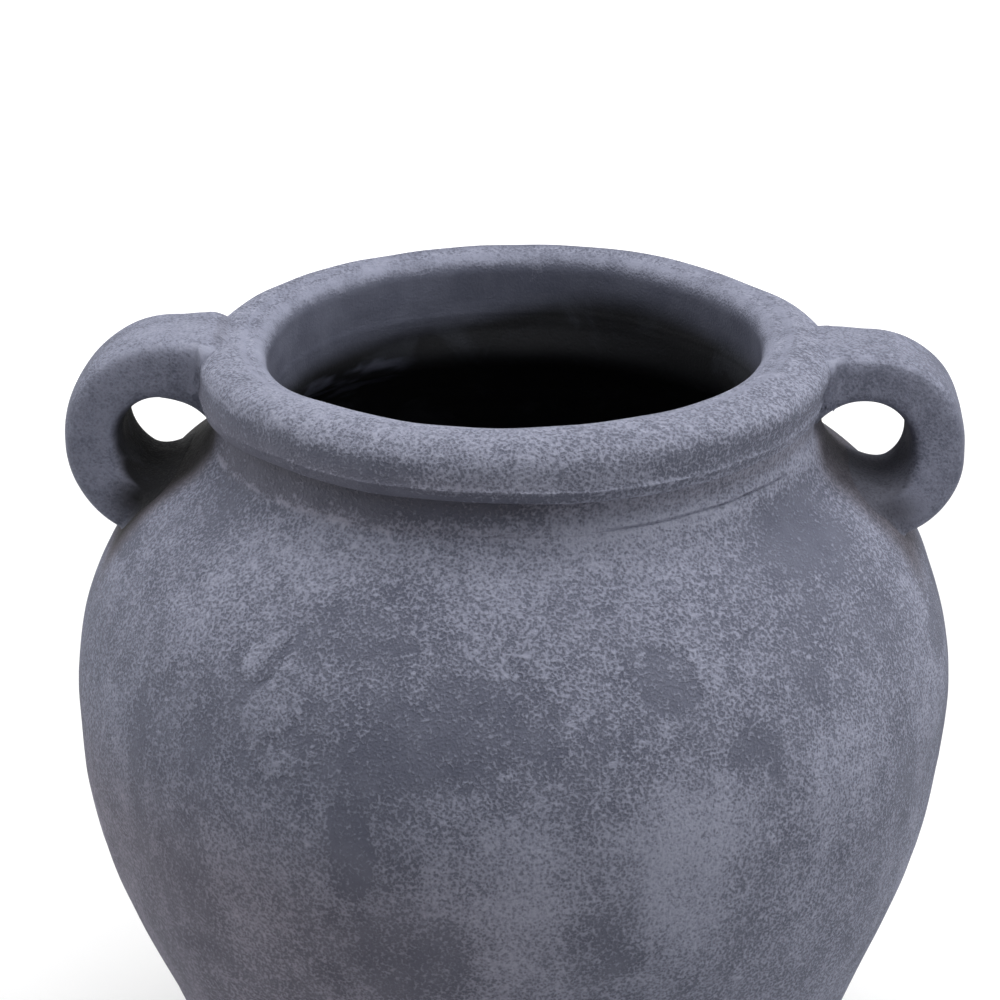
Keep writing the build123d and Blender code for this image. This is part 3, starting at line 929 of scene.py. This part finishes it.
# strap handles, each bent and pressed a little differently
strapShape = {
    "depth": 36 * mm, "highRoot": radians(48.6),
    "crookFillet": 8 * mm,   # clay wiped into the crook, against the shoulder
    "seamFillet": 2.5 * mm,  # on the faces of the strap
    "backFillet": mm,        # on the outside of the strap
    "intoRim": 12 * mm, "sinkTo": rimR - 2 * mm, "underShare": 0.9,
    "ringPoints": 96, "armRings": 30, "bendRings": 40, "dropRings": 6, "bowRings": 36,
    "tuckRings": 6,          # rings sunk in the wall
}
handles = {
    "rightHandle": {
        "side": 1, "outerR": 149.4 * mm, "top": topZ - 1.9 * mm,
        "rise": 0.8 * mm,        # how much the top rises to the rim
        "overRim": 95 * mm,      # the top runs onto the rim as far as this
        "roll": 0,               # how much the underside falls to the front
        "arm": 17.4 * mm, "sideThick": 18.8 * mm, "topBend": 31 * mm,
        "drop": 5 * mm,          # straight part below the bend
        "lowRoot": radians(36),
        "underArc": 18 * mm,     # clay wiped under the arm, against the rim
        "underRun": 9.2 * mm,
        "squareOut": 4.8,        # how square the edges are, on the outside and in the loop
        "squareIn": 4.8,
        "gapBend": 15 * mm,
        "gapDrop": 2 * mm,       # straight part inside the loop
        "sink": 0.6 * mm,        # the top sinks into the rim by this much
    },
    "leftHandle": {
        "side": -1, "outerR": 150.9 * mm, "top": topZ + 1.3 * mm, "rise": 0.7 * mm, "overRim": 91 * mm,
        "roll": 1.3 * mm, "arm": 20.9 * mm, "sideThick": 19.6 * mm, "topBend": 37 * mm, "drop": 2.3 * mm,
        "lowRoot": radians(34.3), "underArc": 29 * mm, "underRun": 15.2 * mm, "squareOut": 4.4,
        "squareIn": 5, "gapBend": 13 * mm, "gapDrop": 0.6 * mm, "sink": 4.6 * mm,
    },
}


def bowTo(start, root):   # arc that leaves the strap's side upright and ends at the root
    run, drop = start.x - root.x, start.z - root.z
    radius = (run ** 2 + drop ** 2) / (2 * run)
    centre = flat(start.x - radius, start.z)
    return centre, radius, atan2(root.z - centre.z, root.x - centre.x)


def strapRings(hand):   # pairs of points, outside and inside of the strap, from the rim to the shoulder
    strap = strapShape
    outerR = hand["outerR"]
    innerR = outerR - hand["sideThick"]
    under = hand["top"] - hand["arm"]
    topCentre = flat(outerR - hand["topBend"], hand["top"] - hand["topBend"])
    gapCentre = flat(innerR - hand["gapBend"], under - hand["gapBend"])
    lowRoot = onCircle(shoulderCentre, jar["shoulderArc"], hand["lowRoot"])
    highRoot = onCircle(shoulderCentre, jar["shoulderArc"], strap["highRoot"])
    outBow = bowTo(flat(outerR, topCentre.z - hand["drop"]), lowRoot)
    inBow = bowTo(flat(innerR, gapCentre.z - hand["gapDrop"]), highRoot)
    rimEnd = rimR - strap["intoRim"]
    rings = []
    for i in range(strap["armRings"]):
        t = i / strap["armRings"]
        outX = rimEnd + (topCentre.x - rimEnd) * t
        inX = rimEnd + (gapCentre.x - rimEnd) * t
        near = np.clip(rimR + hand["underRun"] - inX, 0, hand["underArc"] * strap["underShare"])
        swell = hand["underArc"] - sqrt(hand["underArc"] ** 2 - near ** 2)
        lift = hand["rise"] * fadeOut(outX, rimR, topCentre.x)
        lift -= hand["sink"] * fadeOut(outX, hand["overRim"], strap["sinkTo"])
        dive = max(0, hand["overRim"] - outX)
        rings.append((flat(outX, hand["top"] + lift - dive), flat(inX, under - swell)))
    for i in range(strap["bendRings"]):
        a = pi / 2 * (1 - i / strap["bendRings"])
        rings.append((onCircle(topCentre, hand["topBend"], a), onCircle(gapCentre, hand["gapBend"], a)))
    for i in range(strap["dropRings"]):
        t = i / strap["dropRings"]
        outside = flat(outerR, topCentre.z - hand["drop"] * t)
        rings.append((outside, flat(innerR, gapCentre.z - hand["gapDrop"] * t)))
    for i in range(strap["bowRings"] + strap["tuckRings"]):
        t = i / strap["bowRings"]
        inside = onCircle(inBow[0], inBow[1], inBow[2] * t)
        rings.append((onCircle(outBow[0], outBow[1], outBow[2] * t), inside))
    return rings


def wipeFillets(bm, faceOut):   # spreads the strap where it nears the shoulder and the rim
    strap = strapShape
    for v in bm.verts:
        out = Vector((v.co.x, v.co.y, 0))
        radius = out.length
        radial = out / radius
        fromCentre = Vector((radius - shoulderCentre.x, v.co.z - shoulderCentre.z))
        side = faceOut[v.index]
        reach = strap["seamFillet"]
        if v.co.z > rimZ - mm:
            gap = radius - rimR
            normal = radial
        else:
            gap = fromCentre.length - jar["shoulderArc"]
            fromCentre.normalize()
            normal = radial * fromCentre.x + flat(0, fromCentre.y)
            reach += (strap["backFillet" if side > 0 else "crookFillet"] - reach) * abs(side)
        if gap < reach:
            near = reach - max(0, gap)
            swell = reach - sqrt(reach ** 2 - near ** 2)
            push = (v.normal - normal * v.normal.dot(normal)).normalized()
            v.co += push * swell * (1 - max(0, v.normal.z * (v.co.z > rimZ)))


def makeHandle(name, nodes):
    strap = strapShape
    hand = handles[name]
    bm = bmesh.new()
    ring = bmesh.ops.create_circle(bm, cap_ends=True, segments=strap["ringPoints"], radius=1)["verts"]
    power = [2 / hand["squareOut" if v.co.x > 0 else "squareIn"] for v in ring]
    thick = [abs(v.co.x) ** p * (1 if v.co.x > 0 else -1) for v, p in zip(ring, power)]
    wide = [abs(v.co.y) ** p * (1 if v.co.y > 0 else -1) for v, p in zip(ring, power)]

    def layRing(verts, outside, inside):
        middle = (outside + inside) / 2
        half = (outside - inside) / 2
        roll = hand["roll"] * smoothStep(outside.x, hand["overRim"], rimR)
        for v, t, w in zip(verts, thick, wide):
            p = middle + half * t + Vector((0, strap["depth"] / 2 * w, roll * w * (1 - t) / 2))
            v.co = Vector((p.x * hand["side"], p.y, p.z))

    rings = strapRings(hand)
    layRing(ring, *rings[0])
    face = bm.faces[:][0]
    for outside, inside in rings[1:]:
        face = bmesh.ops.extrude_discrete_faces(bm, faces=[face])["faces"][0]
        layRing([loop.vert for loop in face.loops], outside, inside)
    bmesh.ops.holes_fill(bm, edges=[e for e in bm.edges if e.is_boundary], sides=0)
    bmesh.ops.recalc_face_normals(bm, faces=bm.faces)
    bm.verts.index_update()
    wipeFillets(bm, [thick[v.index % strap["ringPoints"]] for v in bm.verts])
    finishPiece(bm, name, nodes, **inWash, part="strap")


makeHandle("rightHandle", ["right_handle", "right_upper_lute", "right_lower_lute"])
makeHandle("leftHandle", ["left_handle", "left_upper_lute", "left_lower_lute"])
print("handles made")

# stage: pale floor, soft light from above, white all round
stage = {
    "floorSize": 12,
    "floor": "#cccccc",
    "glowNear": 0.45,        # lifts the floor to white where the camera sees it
    "glowFar": 1.0, "nearR": 0.5, "farR": 1.3, "roomLight": 0.14,
}


def cameraSees(tree):   # 1 for the camera, straight or by way of gloss and glass
    ray = addNode(tree, "LightPath")
    mirrored = addNode(tree, "Math", {
        0: ray.outputs["Is Glossy Ray"], 1: ray.outputs["Is Transmission Ray"]}, operation="MAXIMUM")
    return addNode(tree, "Math", {0: ray.outputs["Is Camera Ray"], 1: mirrored}, operation="MAXIMUM")


def makeFloor():
    bm = bmesh.new()
    bmesh.ops.create_grid(bm, x_segments=1, y_segments=1, size=stage["floorSize"] / 2)
    mesh = bpy.data.meshes.new("floor")
    bm.to_mesh(mesh)
    bm.free()
    material, tree, shader = startMaterial("paleFloor")
    place = addNode(tree, "TexCoord").outputs["Object"]
    away = addNode(tree, "VectorMath", {0: place}, operation="LENGTH")
    lift = addNode(tree, "MapRange", {
        "Value": away.outputs["Value"], 1: stage["nearR"], 2: stage["farR"],
        3: stage["glowNear"], 4: stage["glowFar"]}, **soft)
    glow = addNode(tree, "Math", {0: cameraSees(tree), 1: lift}, operation="MULTIPLY")
    setInputs(tree, shader, {
        "Base Color": toLinear(stage["floor"]), "Roughness": 1, "Specular IOR Level": 0,
        "Emission Color": (1, 1, 1, 1), "Emission Strength": glow})
    mesh.materials.append(material)
    floor = bpy.data.objects.new("floor", mesh)
    scene.collection.objects.link(floor)


def makeWorld():
    world = bpy.data.worlds.new("whiteRoom")
    scene.world = world
    world.use_nodes = True
    tree = world.node_tree
    strength = addNode(tree, "MapRange", {"Value": cameraSees(tree), 3: stage["roomLight"]})
    setInputs(tree, tree.nodes["Background"], {"Color": (1, 1, 1, 1), "Strength": strength})


# name, place, aim, size across, size deep, watts
lamps = [
    ("overheadSoftbox", (0.12, -0.1, 1.55), (0, 0, 0.25), 1.4, 1.2, 24),
    ("frontWindow", (1.1, -1.1, 0.7), (0, 0, 0.2), 1.1, 0.9, 4.5),
    ("rightStrip", (1.6, 0.4, 0.4), (0, 0, 0.2), 0.6, 1.0, 13),
    ("leftStrip", (-1.6, 0.35, 0.35), (0, 0, 0.2), 0.6, 1.0, 15),
]


def makeLamps():
    for name, place, aim, across, deep, watts in lamps:
        light = bpy.data.lights.new(name, "AREA")
        light.shape = "RECTANGLE"
        light.size = across
        light.size_y = deep
        light.energy = watts
        lamp = bpy.data.objects.new(name, light)
        lamp.location = place
        lamp.rotation_euler = (Vector(aim) - Vector(place)).to_track_quat("-Z", "Y").to_euler()
        scene.collection.objects.link(lamp)


viewPoint = {
    "mouth": (0, 0, 318 * mm),
    "distance": 866 * mm, "rise": radians(19.03), "turn": radians(1.75),
    "aim": (-4.5 * mm, 0, 259.1 * mm), "lens": 93.6,
}


def makeCamera():
    view = viewPoint
    level = cos(view["rise"])
    away = Vector((sin(view["turn"]) * level, -cos(view["turn"]) * level, sin(view["rise"])))
    camera = bpy.data.objects.new("camera", bpy.data.cameras.new("camera"))
    camera.location = Vector(view["mouth"]) + away * view["distance"]
    camera.rotation_euler = (Vector(view["aim"]) - camera.location).to_track_quat("-Z", "Y").to_euler()
    camera.data.lens = view["lens"]
    scene.collection.objects.link(camera)
    scene.camera = camera


makeFloor()
makeWorld()
makeLamps()
makeCamera()
scene.view_settings.view_transform = "Standard"
print("stage set")
